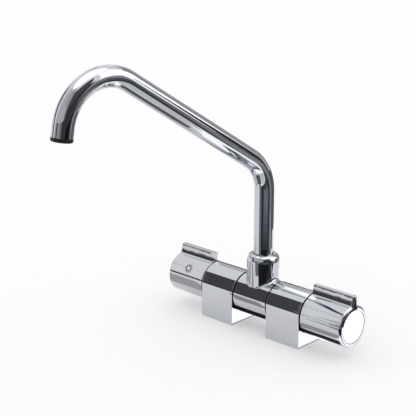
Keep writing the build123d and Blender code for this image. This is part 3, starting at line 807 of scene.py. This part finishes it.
# %% Corner points of the spout
SPOUT_TURN = math.radians(6.0)  # the spout stands a little to the left
RISER = 127.0 * MM  # the first corner's height
ARM = 200.0 * MM
ARM_RISE = math.radians(33.0)
DROP = 59.0 * MM
DROP_ANGLE = math.radians(80.5)
BENDS = (32.0 * MM, 34.5 * MM)


def spout_way(angle):
    """Unit vector forwards along the spout's plane, raised by an angle."""
    ahead = math.cos(angle)
    return Vector(
        (-math.sin(SPOUT_TURN) * ahead, -math.cos(SPOUT_TURN) * ahead, math.sin(angle))
    )


tube_foot = Vector((0, 0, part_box("spout_tube")[0].z))
first_corner = Vector((0, 0, RISER))
second_corner = first_corner + spout_way(ARM_RISE) * ARM
tube_end = second_corner + spout_way(-DROP_ANGLE) * DROP
spout = new_mesh(
    "bent_spout",
    [tube_foot, first_corner, second_corner, tube_end],
    edges=[(0, 1), (1, 2), (2, 3)],
)
bend = spout.data.attributes.new("bend_radius", "FLOAT", "POINT")
bend.data.foreach_set("value", [0.0, *BENDS, 0.0])
print("tube ends at", [round(v / MM, 1) for v in tube_end])

# %% Tree that bends and sweeps the tube
BEND_STEPS = 56
ROUND_STEPS = 96
tube_tree, given = new_tree("bend_tube", {"Outer radius": "NodeSocketFloat"})
wire = add_node(tube_tree, "GeometryNodeMeshToCurve", {0: given["Geometry"]})
bend_radius = add_node(
    tube_tree, "GeometryNodeInputNamedAttribute", {"Name": "bend_radius"}, data_type="FLOAT"
)
rounded = add_node(
    tube_tree,
    "GeometryNodeFilletCurve",
    {
        "Curve": wire.outputs[0],
        "Radius": bend_radius.outputs["Attribute"],
        "Count": BEND_STEPS,
    },
    mode="POLY",
)
ring = add_node(
    tube_tree,
    "GeometryNodeCurvePrimitiveCircle",
    {"Resolution": ROUND_STEPS, "Radius": given["Outer radius"]},
)
swept = add_node(
    tube_tree,
    "GeometryNodeCurveToMesh",
    {"Curve": rounded.outputs[0], "Profile Curve": ring.outputs[0]},
)
close_tree(tube_tree, swept.outputs[0], finishes["polished_chrome"])

# %% Bent spout
TUBE_RADIUS = 7.488 * MM  # a hair under 7.5, as the solid's own facets are
TUBE_WALL = 1.0 * MM
grow("bent_spout", tube_tree, {"Outer radius": TUBE_RADIUS}, spout)
wall = spout.modifiers.new("wall", "SOLIDIFY")
wall.thickness = TUBE_WALL
wall.offset = -1.0  # wholly inwards
settle(spout, finishes["polished_chrome"])
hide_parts("spout_tube")
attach(spout, "spout")
compare_boxes(spout, "spout_tube")

# %% [markdown]
# The mark for hot water is a small sun let into the left handle: a ring with short rays, filled
# with enamel. It could be painted by a material, but a real recess keeps its crisp edge in every
# view. Its rays repeat, so one ray is instanced on the points of a circle. The sun is drawn flat
# and then wrapped round the handle: the distance across the bar becomes an angle.

# %% Tree that draws the sun
RING_STEPS = 64
RAY_POINTS = 3  # along and across a ray, so that it can follow the round handle
sun_tree, given = new_tree(
    "sun_mark",
    {
        "Ring radius": "NodeSocketFloat",
        "Line": "NodeSocketFloat",
        "Depth": "NodeSocketFloat",
        "Ray middle": "NodeSocketFloat",
        "Ray length": "NodeSocketFloat",
        "Rays": "NodeSocketInt",
    },
)
circle = add_node(
    sun_tree,
    "GeometryNodeCurvePrimitiveCircle",
    {"Resolution": RING_STEPS, "Radius": given["Ring radius"]},
)
section = add_node(
    sun_tree,
    "GeometryNodeCurvePrimitiveQuadrilateral",
    {"Width": given["Line"], "Height": given["Depth"]},
)
hoop = add_node(
    sun_tree,
    "GeometryNodeCurveToMesh",
    {"Curve": circle.outputs[0], "Profile Curve": section.outputs[0]},
)
spots = add_node(
    sun_tree,
    "GeometryNodeMeshCircle",
    {"Vertices": given["Rays"], "Radius": given["Ray middle"]},
)
ray_size = add_node(
    sun_tree,
    "ShaderNodeCombineXYZ",
    {0: given["Ray length"], 1: given["Line"], 2: given["Depth"]},
)
ray = add_node(
    sun_tree,
    "GeometryNodeMeshCube",
    {
        "Size": ray_size.outputs[0],
        "Vertices X": RAY_POINTS,
        "Vertices Y": RAY_POINTS,
        "Vertices Z": 2,
    },
)
all_rays = add_node(
    sun_tree,
    "GeometryNodeInstanceOnPoints",
    {
        "Points": spots.outputs[0],
        "Instance": ray.outputs[0],
        "Rotation": spread_turns(sun_tree, given["Rays"], math.tau),
    },
)
both = add_node(sun_tree, "GeometryNodeJoinGeometry")
for part in (hoop.outputs[0], all_rays.outputs[0]):
    sun_tree.links.new(part, both.inputs[0])
close_tree(sun_tree, both.outputs[0], finishes["mark_enamel"], smooth=False)

# %% Sun mark
MARK_X = -67.4 * MM
MARK_ANGLE = math.radians(36.7)  # from the front upwards, round the bar's axis
MARK_DEPTH = 0.3 * MM
MARK_PROUD = 0.01 * MM  # so that the facets of the chrome nowhere cover the enamel
sun = grow(
    "sun_mark",
    sun_tree,
    {
        "Ring radius": 2.3 * MM,
        "Line": 0.8 * MM,
        "Depth": MARK_DEPTH,
        "Ray middle": 3.425 * MM,
        "Ray length": 0.85 * MM,
        "Rays": 10,
    },
)
settle(sun, finishes["mark_enamel"])
for vertex in sun.data.vertices:
    across, along, lift = vertex.co
    angle = MARK_ANGLE + along / BAR_RADIUS
    out = BAR_RADIUS - MARK_DEPTH / 2 + MARK_PROUD + lift
    vertex.co = (
        MARK_X + across,
        -math.cos(angle) * out,
        AXIS_HEIGHT + math.sin(angle) * out,
    )
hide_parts("hot_mark")
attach(sun, "left_handle_set")
compare_boxes(sun, "hot_mark")

# %% [markdown]
# Each foot stands on a screwed shank that goes through the worktop. The solid has a plain
# cylinder for its thread. Here it gets the real thing: a body turned from its section, and a
# ridge of 1.5 mm pitch swept along a spiral. Modelling the ridge rather than drawing it as a bump
# keeps its outline true where the backnut leaves it free.

# %% Tree that winds a thread
COIL_STEPS = 48  # points in each turn
RIDGE_CORNERS = 4  # a ridge of square section, stood on its corner

thread_tree, given = new_tree(
    "wind_thread",
    {
        "Radius": "NodeSocketFloat",
        "Height": "NodeSocketFloat",
        "Turns": "NodeSocketFloat",
        "Ridge": "NodeSocketFloat",
        "Start": "NodeSocketVector",
    },
)
coil = add_node(
    thread_tree,
    "GeometryNodeCurveSpiral",
    {
        "Resolution": COIL_STEPS,
        "Rotations": given["Turns"],
        "Start Radius": given["Radius"],
        "End Radius": given["Radius"],
        "Height": given["Height"],
    },
)
diamond = add_node(
    thread_tree,
    "GeometryNodeCurvePrimitiveCircle",
    {"Resolution": RIDGE_CORNERS, "Radius": given["Ridge"]},
)
ridge = add_node(
    thread_tree,
    "GeometryNodeCurveToMesh",
    {"Curve": coil.outputs[0], "Profile Curve": diamond.outputs[0], "Fill Caps": True},
)
moved = add_node(
    thread_tree,
    "GeometryNodeTransform",
    {"Geometry": ridge.outputs[0], "Translation": given["Start"]},
)
body_and_ridge = add_node(thread_tree, "GeometryNodeJoinGeometry")
for part in (given["Geometry"], moved.outputs[0]):
    thread_tree.links.new(part, body_and_ridge.inputs[0])
close_tree(thread_tree, body_and_ridge.outputs[0], finishes["nickel_brass"])

# %% Section of a screwed shank
SHANK_X = 33.25 * MM
BORE = 5.0 * MM
SPIGOT = 8.0 * MM  # radius of the end that sits in the foot
SPIGOT_TOP = 9.0 * MM
CHAMFER = 0.4 * MM
NECK = 8.9 * MM  # radius of the plain stretch in the worktop
THREAD_RADIUS = 9.0 * MM
THREAD_PITCH = 1.5 * MM
THREAD_SPAN = (-48.0 * MM, -30.0 * MM)
RIDGE = 0.68 * MM  # half of the ridge's width and of its height
SOCKET = 6.55 * MM  # radius of the hole for the inlet tail
SOCKET_TOP = -40.5 * MM

core = THREAD_RADIUS - RIDGE
shank_section = [
    (BORE, SPIGOT_TOP),
    (SPIGOT - CHAMFER, SPIGOT_TOP),
    (SPIGOT, SPIGOT_TOP - CHAMFER),
    (SPIGOT, 0.0),
    (NECK, 0.0),
    (NECK, THREAD_SPAN[1]),
    (core, THREAD_SPAN[1]),
    (core, THREAD_SPAN[0]),
    (SOCKET, THREAD_SPAN[0]),
    (SOCKET, SOCKET_TOP),
    (BORE, SOCKET_TOP),
]


def turned_body(name, section, middle):
    """A closed section of radii and heights, turned round an upright axis at this X."""
    count = len(section)
    points = [
        (
            middle + radius * math.cos(i * math.tau / ROUND_STEPS),
            radius * math.sin(i * math.tau / ROUND_STEPS),
            height,
        )
        for i in range(ROUND_STEPS)
        for radius, height in section
    ]
    faces = [
        (
            i * count + j,
            (i + 1) % ROUND_STEPS * count + j,
            (i + 1) % ROUND_STEPS * count + (j + 1) % count,
            i * count + (j + 1) % count,
        )
        for i in range(ROUND_STEPS)
        for j in range(count)
    ]
    return new_mesh(name, points, faces)


print("shank of", len(shank_section), "corners, thread of", THREAD_PITCH / MM, "mm pitch")

# %% Screwed shanks
thread_height = THREAD_SPAN[1] - THREAD_SPAN[0] - 2 * RIDGE
for side, middle in (("left", -SHANK_X), ("right", SHANK_X)):
    shank = turned_body(f"{side}_screwed_shank", shank_section, middle)
    grow(
        shank.name,
        thread_tree,
        {
            "Radius": core,
            "Height": thread_height,
            "Turns": thread_height / THREAD_PITCH,
            "Ridge": RIDGE,
            "Start": (middle, 0.0, THREAD_SPAN[0] + RIDGE),
        },
        shank,
    )
    settle(shank, finishes["nickel_brass"])
    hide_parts(f"{side}_shank")
    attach(shank, "base")
    compare_boxes(shank, f"{side}_shank")

# %% [markdown]
# Inside the nozzle a star of vanes calms the water. It could be joined from three boxes, but its
# vanes repeat round the axis, so one plate is instanced at three turns, and their number stays a
# value that can be changed. The star is then laid into the tilted end of the tube.

# %% Tree that spreads the vanes
vane_tree, given = new_tree(
    "star_of_vanes", {"Plate": "NodeSocketVector", "Plates": "NodeSocketInt"}
)
plate = add_node(vane_tree, "GeometryNodeMeshCube", {"Size": given["Plate"]})
places = add_node(
    vane_tree, "GeometryNodeMeshLine", {"Count": given["Plates"], "Offset": (0.0, 0.0, 0.0)}
)
star = add_node(
    vane_tree,
    "GeometryNodeInstanceOnPoints",
    {
        "Points": places.outputs[0],
        "Instance": plate.outputs[0],
        "Rotation": spread_turns(vane_tree, given["Plates"], math.pi),
    },
)
close_tree(vane_tree, star.outputs[0], finishes["black_plastic"], smooth=False)

# %% Vanes in the nozzle
VANE_REACH = 5.2 * MM
VANE_THICKNESS = 0.8 * MM
VANE_LENGTH = 6.0 * MM
VANE_START = -1.8 * MM  # up the tube from its end, so a little below that end
VANE_COUNT = 3
vanes = grow(
    "nozzle_vanes",
    vane_tree,
    {"Plate": (VANE_REACH * 2, VANE_THICKNESS, VANE_LENGTH), "Plates": VANE_COUNT},
)
settle(vanes, finishes["black_plastic"])
up_tube = -spout_way(-DROP_ANGLE)
across = Vector((math.cos(SPOUT_TURN), -math.sin(SPOUT_TURN), 0.0))
ahead = up_tube.cross(across)
for vertex in vanes.data.vertices:
    x, y, z = vertex.co
    lift = z + VANE_START + VANE_LENGTH / 2
    vertex.co = tube_end + ahead * x + across * y + up_tube * lift
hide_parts("flow_straightener")
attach(vanes, "spout")
compare_boxes(vanes, "flow_straightener")
